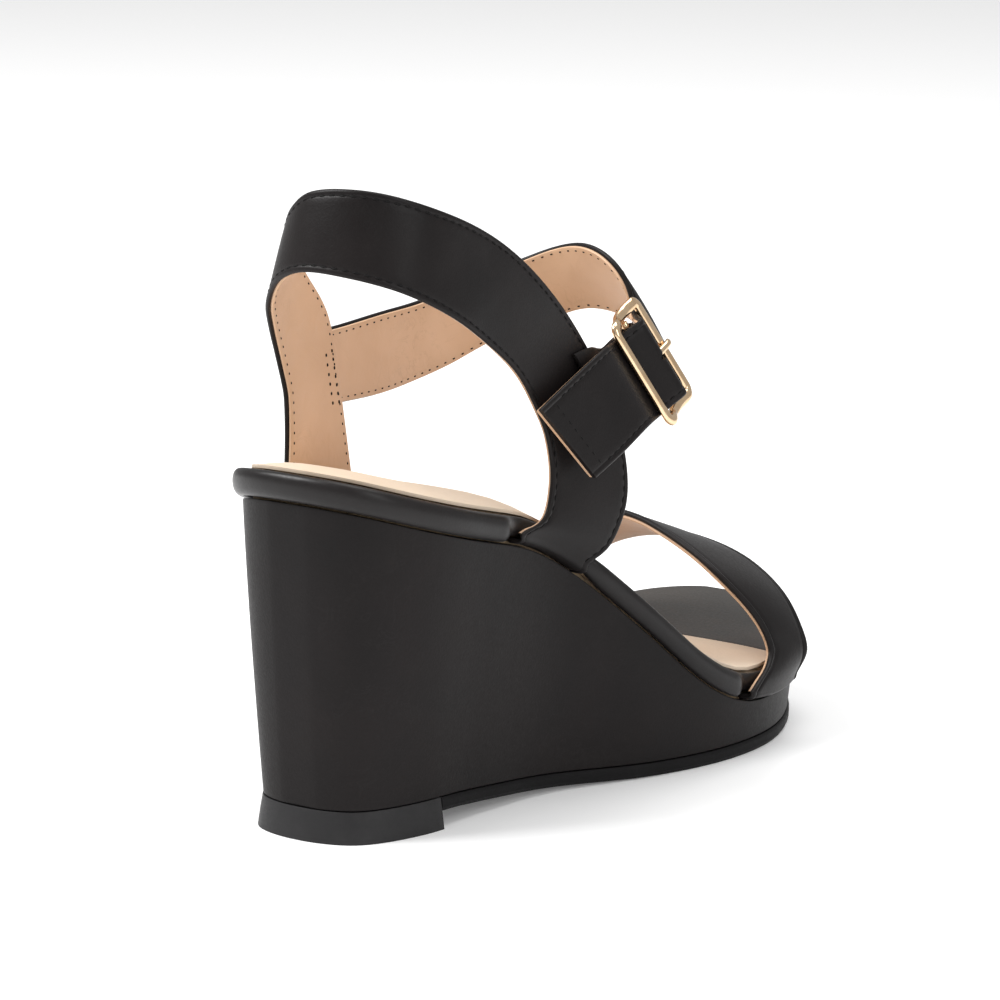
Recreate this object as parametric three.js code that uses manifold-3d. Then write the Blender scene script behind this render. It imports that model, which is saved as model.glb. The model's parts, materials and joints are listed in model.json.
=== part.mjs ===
// A woman's wedge sandal for the right foot, built as the pieces it is assembled from: a leather-covered
// wedge on a rubber sole, a padded footbed with a rolled rand, a toe strap, a heel-and-ankle strap, and
// an instep strap that closes with a pin buckle.
// Millimetres. +X is the outer side of the foot, +Y points to the toe, +Z is up.
import * as THREE from "three";
import { mergeVertices } from "three/addons/utils/BufferGeometryUtils.js";
import Module from "manifold-3d";

const wasm = await Module();
wasm.setup();

// ---------------------------------------------------------------- driving dimensions
const INSOLE_LENGTH = 220; // level distance from heel to toe of the insole board
const HEEL_WIDTH = 54;
const WAIST_WIDTH = 52;
const BALL_WIDTH = 88;
const TOE_WIDTH = 52;

const HEEL_HEIGHT = 95; // wedge top under the heel
const SEAT_Y = 30; // the middle of the heel seat
const SEAT_DROP = 10.2; // how far the wedge top has fallen by the middle of the seat
const WAIST_DROP = 23; // and by the waist
const PLATFORM_HEIGHT = 16; // wedge top under the ball
const TOE_RISE = 5; // wedge top at the toe over the ball
const WAIST_Y = 81; // where the heel seat turns down into the waist
const BALL_Y = 143; // where the waist flattens into the tread

const SOLE_THICKNESS = 4;
const LIFT_THICKNESS = 9;
const LIFT_LENGTH = 35;
const TOE_SPRING = 5;
const FIT = 0.3; // clearance between two pieces that touch or are glued

const COVER_THICKNESS = 1;
const WEDGE_OVERHANG = 2.6; // wedge top edge beyond the insole board
const HEEL_RAKE = 5.5; // how far the wedge draws in towards its foot, at the heel
const TREAD_RAKE = 1.2; // and at the tread

const MARGIN_THICKNESS = 2.6; // room for the lasted ends of the straps
const BOARD_THICKNESS = 1.8;
const FOAM_THICKNESS = 4;
const SOCK_THICKNESS = 1;

const RAND_DEPTH = 5.5; // how far the rolled edge stands out from the board
const RAND_HEIGHT = 8.6;
const SOCK_JOIN = 178; // where the pale heel sock meets the dark one under the toes
const LIFT_FLARE = 1.4;
const SOLE_WELT = 0.5;
const TUCK = 0.4; // clear edge round the filler for the strap ends
const SHANK_FROM = 22;
const SHANK_TO = 128;

const OUTER_THICKNESS = 1.2;
const LINING_THICKNESS = 0.8;
const LINING_INSET = 0.5;
const STRAP_BUILD = OUTER_THICKNESS + FIT + LINING_THICKNESS;
const STRAP_OUT = 6; // outer face of a strap beyond the board where it passes the rand
const SEAT_LIFT = 0.75; // of a strap's end over the wedge top
const ANKLE_Y = 66; // middle of the ankle, which the straps bow out from
const STRAP_WIDTH = 26.5; // of the instep strap at its buckle
const QUARTER_OUTER = [61, 89.5]; // where each strap goes under the rand, from y to y
const QUARTER_INNER = [38.5, 67.5];
const VAMP_OUTER = [151, 184];
const VAMP_INNER = [140, 176];

const BAR_RADIUS = 1.1; // buckle wire
const BAR_PITCH = 8.8; // from the middle bar to either end bar
const CENTRE_BAR_DROP = -1.6; // the middle bar lies this far below the frame's plane
const FRAME_WIRE = 1.4;
const RUNNING_FIT = 0.09; // between the prong's eye and the middle bar
const PRONG_RADIUS = 0.8;
const PRONG_WIDTH = 2.2;

// ---------------------------------------------------------------- helpers
const v3 = (x, y, z) => new THREE.Vector3(x, y, z);
const lerp = THREE.MathUtils.lerp;
const smooth = (a, b, y) => THREE.MathUtils.smoothstep(y, a, b);

// A line through level stations [y, z], with each bend eased by a parabola of the given length.
function eased(stations) {
  return (y) => {
    let z = stations[0].z;
    const slopes = stations.slice(1).map((s, i) => (s.z - stations[i].z) / (s.y - stations[i].y));
    z += slopes[0] * (y - stations[0].y);
    for (let i = 1; i < stations.length - 1; i++) {
      const { y: at, ease = 1 } = stations[i];
      const from = at - ease / 2;
      const u = THREE.MathUtils.clamp(y - from, 0, ease);
      const past = Math.max(0, y - from - ease);
      z += (slopes[i] - slopes[i - 1]) * ((u * u) / (2 * ease) + past);
    }
    return z;
  };
}

// A closed solid through stacked or nested rings of points, joined ring to ring.
// When capped, the first and last rings are closed by rungs between points i and n-1-i.
function ringSolid(rings, capped = true) {
  const n = rings[0].length;
  const positions = rings.flat().flatMap((p) => [p.x, p.y, p.z]);
  const faces = [];
  const quad = (a, b, c, d) => faces.push(a, b, c, a, c, d);
  const bands = capped ? rings.length - 1 : rings.length;
  for (let r = 0; r < bands; r++) {
    const below = r * n;
    const above = ((r + 1) % rings.length) * n;
    for (let i = 0; i < n; i++) {
      const j = (i + 1) % n;
      quad(below + i, below + j, above + j, above + i);
    }
  }
  if (capped) {
    const top = (rings.length - 1) * n;
    for (let i = 0; i < n / 2 - 1; i++) {
      quad(i, n - 1 - i, n - 2 - i, i + 1);
      quad(top + i, top + i + 1, top + n - 2 - i, top + n - 1 - i);
    }
  }
  const geometry = new THREE.BufferGeometry();
  geometry.setAttribute("position", new THREE.Float32BufferAttribute(positions, 3));
  geometry.setIndex(faces);
  return facingOut(geometry);
}

// Signed volume of a closed geometry, negative when its faces point inwards.
function signedVolume(geometry) {
  const p = geometry.getAttribute("position");
  const index = geometry.getIndex().array;
  const [a, b, c] = [v3(), v3(), v3()];
  let six = 0;
  for (let i = 0; i < index.length; i += 3) {
    a.fromBufferAttribute(p, index[i]);
    b.fromBufferAttribute(p, index[i + 1]);
    c.fromBufferAttribute(p, index[i + 2]);
    six += a.dot(b.cross(c));
  }
  return six / 6;
}

function facingOut(geometry) {
  if (signedVolume(geometry) < 0) {
    const index = geometry.getIndex().array;
    for (let i = 0; i < index.length; i += 3) {
      [index[i + 1], index[i + 2]] = [index[i + 2], index[i + 1]];
    }
  }
  return geometry;
}

// The first geometry with the others cut out of it.
function without(geometry, cutters) {
  let solid = solidOf(geometry);
  for (const cutter of cutters) solid = solid.subtract(solidOf(cutter));
  return geometryOf(solid);
}

function joined(a, b) {
  return geometryOf(solidOf(a).add(solidOf(b)));
}

function geometryOf(solid) {
  const mesh = solid.getMesh();
  const result = new THREE.BufferGeometry();
  result.setAttribute("position", new THREE.BufferAttribute(mesh.vertProperties, 3));
  result.setIndex(new THREE.BufferAttribute(mesh.triVerts, 1));
  return result;
}

function solidOf(geometry) {
  const bare = new THREE.BufferGeometry();
  bare.setAttribute("position", geometry.getAttribute("position"));
  bare.setIndex(geometry.getIndex());
  const merged = mergeVertices(bare, 1e-4);
  return new wasm.Manifold(new wasm.Mesh({
    numProp: 3,
    vertProperties: merged.getAttribute("position").array,
    triVerts: new Uint32Array(merged.getIndex().array),
  }));
}

// ---------------------------------------------------------------- plan outline
// The insole board seen from above, heel to toe and back, as shares of the length and of half widths.
const half = (width, share) => (width / 2) * share;
const outlinePoints = [
  [0, 0],
  [half(HEEL_WIDTH, 0.66), 0.024],
  [half(HEEL_WIDTH, 1.0), 0.115],
  [half(HEEL_WIDTH, 1.05), 0.24],
  [half(WAIST_WIDTH, 1.14), 0.385],
  [half(BALL_WIDTH, 0.94), 0.535],
  [half(BALL_WIDTH, 1.09), 0.67],
  [half(BALL_WIDTH, 1.04), 0.79],
  [half(TOE_WIDTH, 1.25), 0.915],
  [half(TOE_WIDTH, 0.46), 0.987],
  [half(TOE_WIDTH, -0.28), 1.0],
  [half(TOE_WIDTH, -0.92), 0.957],
  [half(BALL_WIDTH, -0.8), 0.86],
  [half(BALL_WIDTH, -0.88), 0.755],
  [half(BALL_WIDTH, -0.84), 0.655],
  [half(BALL_WIDTH, -0.7), 0.535],
  [half(WAIST_WIDTH, -0.93), 0.4],
  [half(WAIST_WIDTH, -0.98), 0.25],
  [half(HEEL_WIDTH, -0.98), 0.115],
  [half(HEEL_WIDTH, -0.66), 0.024],
].map(([x, share]) => new THREE.Vector2(x, share * INSOLE_LENGTH));

const OUTLINE_SAMPLES = 400;
const boardLine = new THREE.CatmullRomCurve3(
  outlinePoints.map((p) => v3(p.x, p.y, 0)),
  true,
).getPoints(OUTLINE_SAMPLES);

// The board's outline moved out by offset(y), split into its two sides, each running heel to toe.
function outline(offset) {
  const moved = boardLine.slice(0, -1).map((p, i, all) => {
    const before = all[(i - 1 + all.length) % all.length];
    const after = all[(i + 1) % all.length];
    const out = v3(after.y - before.y, before.x - after.x, 0).normalize();
    return p.clone().addScaledVector(out, offset(p.y));
  });
  const ys = moved.map((p) => p.y);
  const heel = ys.indexOf(Math.min(...ys));
  const toe = ys.indexOf(Math.max(...ys));
  const run = (from, to) => {
    const side = [];
    for (let i = from; i !== to; i = (i + 1) % moved.length) side.push(moved[i]);
    return [...side, moved[to]];
  };
  return { outer: run(heel, toe), inner: run(toe, heel).reverse(), start: ys[heel], end: ys[toe] };
}

function xAt(side, y) {
  const i = THREE.MathUtils.clamp(side.findIndex((p) => p.y > y), 1, side.length - 1);
  const [a, b] = [side[i - 1], side[i]];
  return lerp(a.x, b.x, THREE.MathUtils.clamp((y - a.y) / (b.y - a.y), 0, 1));
}

// Shares of the way from heel to toe, closer together where an end is round.
const ROUND_END = 0.0016; // how far in from a round end the first rung lies, as a share
function stations(count, roundStart = true, roundEnd = true) {
  const shares = [];
  for (let i = 0; i <= count; i++) {
    const u = i / count;
    const both = (1 - Math.cos(Math.PI * u)) / 2;
    const start = 1 - Math.cos((Math.PI * u) / 2);
    const end = Math.sin((Math.PI * u) / 2);
    let share = u;
    if (roundStart && roundEnd) share = both;
    else if (roundStart) share = start;
    else if (roundEnd) share = end;
    const low = roundStart ? ROUND_END : 0;
    const high = roundEnd ? 1 - ROUND_END : 1;
    shares.push(lerp(low, high, share));
  }
  return shares;
}

// One level ring: the outer side heel to toe, then the inner side back to the heel, with heights from z(y).
function ring(line, z, shares, from = line.start, to = line.end) {
  const points = [line.outer, line.inner].map((side) =>
    shares.map((s) => {
      const y = lerp(from, to, s);
      return v3(xAt(side, y), y, z(y));
    }),
  );
  return [...points[0], ...points[1].reverse()];
}

// ---------------------------------------------------------------- heights along the foot
const wedgeTop = eased([
  { y: 0, z: HEEL_HEIGHT },
  { y: SEAT_Y, z: HEEL_HEIGHT - SEAT_DROP, ease: 40 },
  { y: WAIST_Y, z: HEEL_HEIGHT - WAIST_DROP, ease: 36 },
  { y: BALL_Y, z: PLATFORM_HEIGHT, ease: 36 },
  { y: BALL_Y + 37, z: PLATFORM_HEIGHT - 1, ease: 30 },
  { y: INSOLE_LENGTH, z: PLATFORM_HEIGHT + TOE_RISE },
]);
const tread = eased([
  { y: 0, z: LIFT_THICKNESS - SOLE_THICKNESS },
  { y: 36, z: LIFT_THICKNESS - SOLE_THICKNESS, ease: 20 },
  { y: 106, z: 0, ease: 56 },
  { y: 190, z: 0, ease: 22 },
  { y: INSOLE_LENGTH, z: TOE_SPRING },
]);
const wedgeFoot = (y) => tread(y) + SOLE_THICKNESS;
const boardBottom = (y) => wedgeTop(y) + MARGIN_THICKNESS;
const foamBottom = (y) => boardBottom(y) + BOARD_THICKNESS + FIT;
const sockBottom = (y) => foamBottom(y) + FOAM_THICKNESS + FIT;

const rake = (y) => lerp(HEEL_RAKE, TREAD_RAKE, smooth(40, 130, y));

const shoe = new THREE.Group();
const leather = new THREE.MeshStandardMaterial({ color: 0x2b292a, roughness: 0.5, metalness: 0 });
const lining = new THREE.MeshStandardMaterial({ color: 0xd2a582, roughness: 0.6, metalness: 0 });
const sock = new THREE.MeshStandardMaterial({ color: 0xf0dcc2, roughness: 0.6, metalness: 0 });
const rubber = new THREE.MeshStandardMaterial({ color: 0x242425, roughness: 0.65, metalness: 0 });
const board = new THREE.MeshStandardMaterial({ color: 0x9a7f5f, roughness: 0.9, metalness: 0 });
const foam = new THREE.MeshStandardMaterial({ color: 0xe8e2d0, roughness: 0.9, metalness: 0 });
const plastic = new THREE.MeshStandardMaterial({ color: 0x4a4642, roughness: 0.7, metalness: 0 });
const steel = new THREE.MeshStandardMaterial({ color: 0xb9bcc0, roughness: 0.35, metalness: 1 });
const gold = new THREE.MeshStandardMaterial({ color: 0xd8b26e, roughness: 0.2, metalness: 1 });

function add(name, geometry, material) {
  const mesh = new THREE.Mesh(geometry, material);
  mesh.name = name;
  shoe.add(mesh);
  return mesh;
}

// ---------------------------------------------------------------- sole unit
const WALL_STEPS = 4;
const NAIL_RADIUS = 1.1;
const NAIL_LENGTH = 16;
const SHANK_WIDTH = 11;
const SHANK_THICKNESS = 1.6;

// Rings of the wedge's wall from its foot to its top, drawn in by inset all round.
function wedgeWall(inset, steps, count) {
  const rings = [];
  for (let k = 0; k <= steps; k++) {
    const h = k / steps;
    const line = outline((y) => WEDGE_OVERHANG - rake(y) * (1 - h) ** 1.2 - inset);
    const z = (y) => lerp(wedgeFoot(y) + FIT, wedgeTop(y), h);
    rings.push(ring(line, z, stations(count)));
  }
  return rings;
}

// The leather cover: a shell round the wedge, open above and below.
function addWedge() {
  const inside = wedgeWall(COVER_THICKNESS, WALL_STEPS, 44).reverse();
  add("wedge_cover", ringSolid([...wedgeWall(0, WALL_STEPS, 44), ...inside], false), leather);
  const core = ringSolid(wedgeWall(COVER_THICKNESS + FIT, 1, 44));
  add("wedge_core", without(core, liftNails.map((at) => nail(at, FIT))), plastic);
}

const liftNails = [
  [0, LIFT_LENGTH * 0.24],
  [HEEL_WIDTH * -0.24, LIFT_LENGTH * 0.68],
  [HEEL_WIDTH * 0.24, LIFT_LENGTH * 0.68],
];
function nail([x, y], clearance) {
  const radius = NAIL_RADIUS + clearance;
  const shape = new THREE.CylinderGeometry(radius, radius, NAIL_LENGTH + 2 * clearance, 12);
  return shape.rotateX(Math.PI / 2).translate(x, y, LIFT_THICKNESS + 2);
}

// The rubber heel piece, standing a little below the sole, with the nails that hold it.
function addLift() {
  const flare = (extra) => outline((y) => WEDGE_OVERHANG - rake(y) + extra);
  const shares = stations(22, true, false);
  const at = (line, z) => ring(line, () => z, shares, line.start, LIFT_LENGTH);
  const lift = ringSolid([
    at(flare(LIFT_FLARE), 0),
    at(flare(LIFT_FLARE / 2), LIFT_THICKNESS * 0.55),
    at(flare(0), LIFT_THICKNESS),
  ]);
  add("heel_lift", without(lift, liftNails.map((p) => nail(p, FIT))), rubber);
  liftNails.forEach((p, i) => add(`lift_nail_${i + 1}`, nail(p, 0), steel));
}

function addOutsole() {
  const edge = (extra) => outline((y) => WEDGE_OVERHANG - rake(y) + extra);
  const shares = stations(34, false, true);
  const at = (line, up) => ring(line, (y) => tread(y) + up, shares, LIFT_LENGTH + FIT, line.end);
  add("outsole", ringSolid([
    at(edge(-0.2), 0),
    at(edge(SOLE_WELT), SOLE_THICKNESS * 0.3),
    at(edge(SOLE_WELT), SOLE_THICKNESS * 0.8),
    at(edge(0), SOLE_THICKNESS),
  ]), rubber);
}

// ---------------------------------------------------------------- footbed
const level = (offset, z, count = 40) => ring(outline(() => offset), z, stations(count));

// The filler inside the lasting margin, with the steel shank let into it.
function addMargin() {
  const bottom = (y) => wedgeTop(y) + FIT;
  const top = (y) => wedgeTop(y) + MARGIN_THICKNESS - FIT;
  const shankRoom = SHANK_THICKNESS + 2 * FIT;
  const slot = strip(SHANK_WIDTH / 2 + FIT, SHANK_FROM - FIT, SHANK_TO + FIT, shankRoom, 0);
  add("bottom_filler", without(ringSolid([level(-TUCK, bottom), level(-TUCK, top)]), [slot]), board);
  add("shank", strip(SHANK_WIDTH / 2, SHANK_FROM, SHANK_TO, SHANK_THICKNESS, FIT), steel);
}

// A flat strip down the middle of the wedge top, from one y to another.
function strip(halfWidth, from, to, thickness, lift) {
  const edge = (x) => [v3(x, from, 0), v3(x, to, 0)];
  const middle = { outer: edge(halfWidth), inner: edge(-halfWidth) };
  const at = (up) => ring(middle, (y) => wedgeTop(y) + lift + up, stations(20, false, false), from, to);
  return ringSolid([at(0), at(thickness)]);
}

function addFootbed() {
  const slab = (offset, bottom, thickness) =>
    ringSolid([level(offset, bottom), level(offset, (y) => bottom(y) + thickness)]);
  add("insole_board", slab(0, boardBottom, BOARD_THICKNESS), board);
  add("footbed_foam", slab(0, foamBottom, FOAM_THICKNESS), foam);
  addSock("heel_sock", 0, SOCK_JOIN - FIT / 2, sock);
  addSock("forepart_sock", SOCK_JOIN + FIT / 2, INSOLE_LENGTH, leather);
}

// One half of the sock, ending in a straight edge across the foot.
function addSock(name, from, to, material) {
  const line = outline(() => 0);
  const heel = from < line.start + 1;
  const shares = stations(40, heel, !heel);
  const at = (up) =>
    ring(line, (y) => sockBottom(y) + up, shares, Math.max(from, line.start), Math.min(to, line.end));
  add(name, ringSolid([at(0), at(SOCK_THICKNESS)]), material);
}

// The padded roll round the footbed. Under a strap it is pressed flat and lifted clear of the strap's end.
const straps = [
  { side: 1, from: QUARTER_OUTER[0], to: QUARTER_OUTER[1] },
  { side: -1, from: QUARTER_INNER[0], to: QUARTER_INNER[1] },
  { side: 1, from: VAMP_OUTER[0], to: VAMP_OUTER[1] },
  { side: -1, from: VAMP_INNER[0], to: VAMP_INNER[1] },
];
function pressed(x, y) {
  const shares = straps.map(({ side, from, to }) => {
    if (side * x < 0) return 0;
    return smooth(from - 4, from - 1, y) * (1 - smooth(to + 3, to + 6, y));
  });
  return Math.max(...shares);
}

const RAND_STATIONS = 200;
const RAND_SIDES = 10;
function addRand() {
  const line = boardLine.slice(0, -1).filter((p, i) => i % (OUTLINE_SAMPLES / RAND_STATIONS) === 0);
  const rings = line.map((p, i) => {
    const before = line.at(i - 1);
    const after = line[(i + 1) % line.length];
    const out = v3(after.y - before.y, before.x - after.x, 0).normalize();
    const press = pressed(p.x, p.y);
    const depth = lerp(RAND_DEPTH, STRAP_OUT - STRAP_BUILD - 4 * FIT, press);
    const low = lerp(FIT, SEAT_LIFT + OUTER_THICKNESS + 3 * FIT, press);
    const section = [];
    for (let k = 0; k < RAND_SIDES; k++) {
      const a = (2 * Math.PI * k) / RAND_SIDES;
      const round = (c) => Math.sign(c) * Math.abs(c) ** 0.92;
      const reach = lerp(FIT, depth, (1 + round(Math.cos(a))) / 2);
      const y = p.y + out.y * reach;
      const z = lerp(low, RAND_HEIGHT, (1 + round(Math.sin(a))) / 2);
      section.push(v3(p.x + out.x * reach, y, wedgeTop(y) + z));
    }
    return section;
  });
  add("rand", ringSolid(rings, false), leather);
}

// ---------------------------------------------------------------- straps
// A point on a strap where it meets the footbed: out from the board's edge, up from the wedge top.
const outerLines = new Map();
function seat(side, y, out, up) {
  if (!outerLines.has(out)) outerLines.set(out, outline(() => out));
  const line = outerLines.get(out);
  return v3(xAt(side > 0 ? line.outer : line.inner, y), y, wedgeTop(y) + up);
}
// A row across a strap at its seat: rear edge, middle, front edge.
const seatRow = (side, [from, to], out, up, shift = 0) =>
  [from + shift, (from + to) / 2 + shift, to + shift].map((y) => seat(side, y, out, up));
// The rows where a strap comes out from under the rand and climbs over it.
const seatRows = (side, span) => [
  seatRow(side, span, 0.6, SEAT_LIFT),
  seatRow(side, span, STRAP_OUT - 2.4, SEAT_LIFT),
  seatRow(side, span, STRAP_OUT - 0.7, SEAT_LIFT + 0.8),
  seatRow(side, span, STRAP_OUT, SEAT_LIFT + 2.8),
];

// The strap lines below are drawn for these sizes, and follow the heel and the ball when they change.
const DRAWN = { heelWidth: 54, ballWidth: 88, heelHeight: 95, platform: 16 };
const loop = (x, y, z) => v3(x * (HEEL_WIDTH / DRAWN.heelWidth), y, z + HEEL_HEIGHT - DRAWN.heelHeight);
const toe = (x, y, z) => v3(x * (BALL_WIDTH / DRAWN.ballWidth), y, z + PLATFORM_HEIGHT - DRAWN.platform);
const row = (a, b, bulge = 0) => {
  const middle = a.clone().add(b).multiplyScalar(0.5);
  const out = v3(middle.x, middle.y - ANKLE_Y, 0).normalize();
  return [a, middle.addScaledVector(out, bulge), b];
};

// The outer face of a strap as a grid of points: rows along it, columns across.
const COLUMNS = [0, 0.035, 0.27, 0.5, 0.73, 0.965, 1];
function strapGrid(rows, count, columns = COLUMNS) {
  const curves = [0, 1, 2].map((c) => new THREE.CatmullRomCurve3(rows.map((r) => r[c])));
  const grid = [];
  for (let k = 0; k <= count; k++) {
    const [a, m, b] = curves.map((curve) => curve.getPoint(k / count));
    const line = columns.map((u) => {
      const p = a.clone().multiplyScalar((1 - u) * (1 - 2 * u));
      return p.addScaledVector(m, 4 * u * (1 - u)).addScaledVector(b, u * (2 * u - 1));
    });
    grid.push(line);
  }
  return grid;
}

function gridNormals(grid) {
  return grid.map((line, k) =>
    line.map((p, c) => {
      const along = grid[Math.min(k + 1, grid.length - 1)][c].clone();
      along.sub(grid[Math.max(k - 1, 0)][c]);
      const across = line[Math.min(c + 1, line.length - 1)].clone();
      across.sub(line[Math.max(c - 1, 0)]);
      return across.cross(along).normalize();
    }),
  );
}

// One layer of a strap between two depths below its outer face, narrowed at both sides by inset.
// Cells named by hole(k, c) are left open.
function strapLayer(grid, top, bottom, { side = 1, inset = 0, hole = () => false } = {}) {
  const normals = gridNormals(grid);
  const columns = grid[0].length - 1;
  const last = grid.length - 1;
  const thickness = bottom - top;
  const vertices = [];
  const place = (k, c, depth) => {
    const n = normals[k][c];
    const p = grid[k][c].clone().addScaledVector(n, -side * depth);
    const inward = grid[k][columns].clone().sub(grid[k][0]).normalize();
    if (c <= 1) p.addScaledVector(inward, inset);
    if (c >= columns - 1) p.addScaledVector(inward, -inset);
    vertices.push(p.x, p.y, p.z);
  };
  for (const face of [0, 1]) {
    for (let k = 0; k <= last; k++) {
      for (let c = 0; c <= columns; c++) {
        const rounding = c === 0 || c === columns ? thickness * 0.3 : 0;
        place(k, c, face ? bottom - rounding : top + rounding);
      }
    }
  }
  const w = columns + 1;
  const under = w * (last + 1);
  const at = (k, c) => k * w + c;
  const solid = (k, c) => k >= 0 && k < last && c >= 0 && c < columns && !hole(k, c);
  const faces = [];
  const quad = (a, b, c, d) => faces.push(a, b, c, a, c, d);
  for (let k = 0; k < last; k++) {
    for (let c = 0; c < columns; c++) {
      if (!solid(k, c)) continue;
      const corners = [at(k, c), at(k, c + 1), at(k + 1, c + 1), at(k + 1, c)];
      quad(...corners);
      quad(...corners.map((i) => i + under).reverse());
      const beyond = [solid(k - 1, c), solid(k, c + 1), solid(k + 1, c), solid(k, c - 1)];
      beyond.forEach((leather, i) => {
        const [from, to] = [corners[i], corners[(i + 1) % 4]];
        if (!leather) quad(to, from, from + under, to + under);
      });
    }
  }
  const geometry = new THREE.BufferGeometry();
  geometry.setAttribute("position", new THREE.Float32BufferAttribute(vertices, 3));
  geometry.setIndex(faces);
  return facingOut(geometry);
}

// Both layers of a strap: the leather outside and the narrower lining inside, which ends where from..to says.
function addStrap(name, grid, side, { skip = 0, hole } = {}) {
  add(`${name}_outer`, strapLayer(grid, 0, OUTER_THICKNESS, { side, hole }), leather);
  const inner = skip ? grid.slice(skip, -skip) : grid;
  const innerHole = hole && ((k, c) => hole(k + skip, c));
  const options = { side, inset: LINING_INSET, hole: innerHole };
  add(`${name}_lining`, strapLayer(inner, OUTER_THICKNESS + FIT, STRAP_BUILD, options), lining);
}

// The band that rises from the outer side, goes round behind the ankle and comes down on the inner side.
const quarterRows = [
  ...seatRows(1, QUARTER_OUTER),
  row(loop(34.8, 71, 84), loop(39, 97.5, 71.5), 0.4),
  row(loop(33.8, 75.6, 94), loop(40.4, 103.5, 82.5), 0.8),
  row(loop(32.8, 75, 104.5), loop(39, 105.6, 94), 1),
  row(loop(32.5, 71, 112.8), loop(35.8, 103.6, 110), 1),
  row(loop(31.4, 62.8, 125.2), loop(31, 96.6, 128.4), 0.4),
  row(loop(30.1, 50.2, 135.3), loop(30, 77, 149), 0.4),
  row(loop(28.7, 33.4, 145.8), loop(28, 57, 163.8), 0.4),
  row(loop(23, 18.3, 153.5), loop(24.7, 32, 175), 0.4),
  row(loop(11, 9.3, 157.4), loop(13.5, 17, 180.4), 0.4),
  row(loop(-2.2, 6.8, 158), loop(-3.5, 13, 179.4), 0.4),
  row(loop(-12.6, 9.2, 154), loop(-14, 17, 172.6), 0.4),
  row(loop(-20.8, 15, 146), loop(-23, 28, 162), 0.4),
  row(loop(-25.3, 22, 137.5), loop(-28.3, 39, 153), 0.4),
  row(loop(-27.7, 28.1, 127.9), loop(-28.6, 50.7, 138.9), 0.4),
  row(loop(-28.9, 33.1, 115.7), loop(-29.2, 57, 120), 0.6),
  ...seatRows(-1, QUARTER_INNER).reverse(),
];

// The toe strap, arched over the ball of the foot.
const vampRows = [
  ...seatRows(1, VAMP_OUTER),
  row(toe(51, 165, 29), toe(52.2, 184, 26.5), 1),
  row(toe(47.6, 163, 39), toe(48.8, 185, 34), 2),
  row(toe(38, 157, 52), toe(41, 187, 42.5), 2.4),
  row(toe(22, 158.5, 60.5), toe(26, 189.5, 50.5), 1.4),
  row(toe(0, 162, 66), toe(5, 191, 54.5), 0.6),
  row(toe(-14, 163, 63), toe(-12, 192.5, 53.5), 1),
  row(toe(-29, 158, 52), toe(-26.5, 190.5, 48), 2),
  row(toe(-40, 150, 36), toe(-38.5, 184.5, 34), 2),
  ...seatRows(-1, VAMP_INNER).reverse(),
];

// ---------------------------------------------------------------- buckle
const STRAP_HALF = STRAP_WIDTH / 2;
const buckleCentre = loop(37.9, 119.1, 121.9);
const across = v3(0.33, 0.42, -0.85).normalize();
const along = v3(-0.25, 0.9, 0.35);
along.addScaledVector(across, -along.dot(across)).normalize();
const away = across.clone().cross(along);
const onBuckle = (t, w, n) =>
  buckleCentre.clone().addScaledVector(along, t).addScaledVector(across, w).addScaledVector(away, n);
const buckleFrame = new THREE.Matrix4()
  .makeBasis(along, across.clone().negate(), away)
  .setPosition(buckleCentre);

const strapAt = (t, n) => [-STRAP_HALF, 0, STRAP_HALF].map((w) => onBuckle(t, w, n));
const underBar = -BAR_RADIUS - FIT;
const overBar = CENTRE_BAR_DROP + BAR_RADIUS + 4 * FIT + OUTER_THICKNESS + STRAP_BUILD;

// The instep strap, from the seam on the inner side, over the instep and through the buckle to its free end.
const ankleRows = [
  row(loop(-31.8, 49, 133), loop(-32.4, 54.5, 110.3), 0.2),
  row(loop(-32, 58, 132.8), loop(-32.6, 63.5, 110), 0.2),
  row(loop(-31.2, 80, 134.2), loop(-32.2, 81.5, 110), 0.2),
  row(loop(-29.8, 97, 135.5), loop(-32.2, 96, 111.3), 0.4),
  row(loop(-24.5, 113, 139.5), loop(-29.2, 111.5, 114.8), 0.6),
  row(loop(-13.5, 123.5, 145.5), loop(-21.5, 122.5, 121), 0.6),
  row(loop(0, 127, 151), loop(-9, 131, 127.2), 0.4),
  row(loop(11, 125, 152.8), loop(5, 136, 132.4), 0.4),
  row(loop(20.5, 122.5, 150.4), loop(19, 137.8, 130.5), 0.6),
  row(loop(27, 121.5, 144.6), loop(31, 137, 122.8), 0.8),
  strapAt(BAR_PITCH, underBar),
  strapAt(BAR_PITCH / 2, (overBar + underBar) / 2),
  strapAt(0, overBar),
  strapAt(-BAR_PITCH / 2, (overBar + underBar) / 2),
  strapAt(-BAR_PITCH, underBar),
  row(loop(37.2, 96.6, 129), loop(45, 108, 105.6)),
  row(loop(37.6, 80.2, 122.8), loop(44.6, 95.8, 99.8)),
  row(loop(37.6, 64.4, 116.2), loop(43.8, 83, 94.3)),
];

const ANKLE_STEPS = 68;
const ANKLE_COLUMNS = [0, 0.035, 0.24, 0.44, 0.56, 0.76, 0.965, 1];
const HOLE_COLUMN = 3;
const HOLE_ROWS = [10.25, 11.95]; // the prong's hole, between these rows of the strap
const rowAt = (k) => (k / ANKLE_STEPS) * (ankleRows.length - 1);
const prongHole = (k, c) =>
  c === HOLE_COLUMN && rowAt(k) >= HOLE_ROWS[0] && rowAt(k + 1) <= HOLE_ROWS[1];

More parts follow.
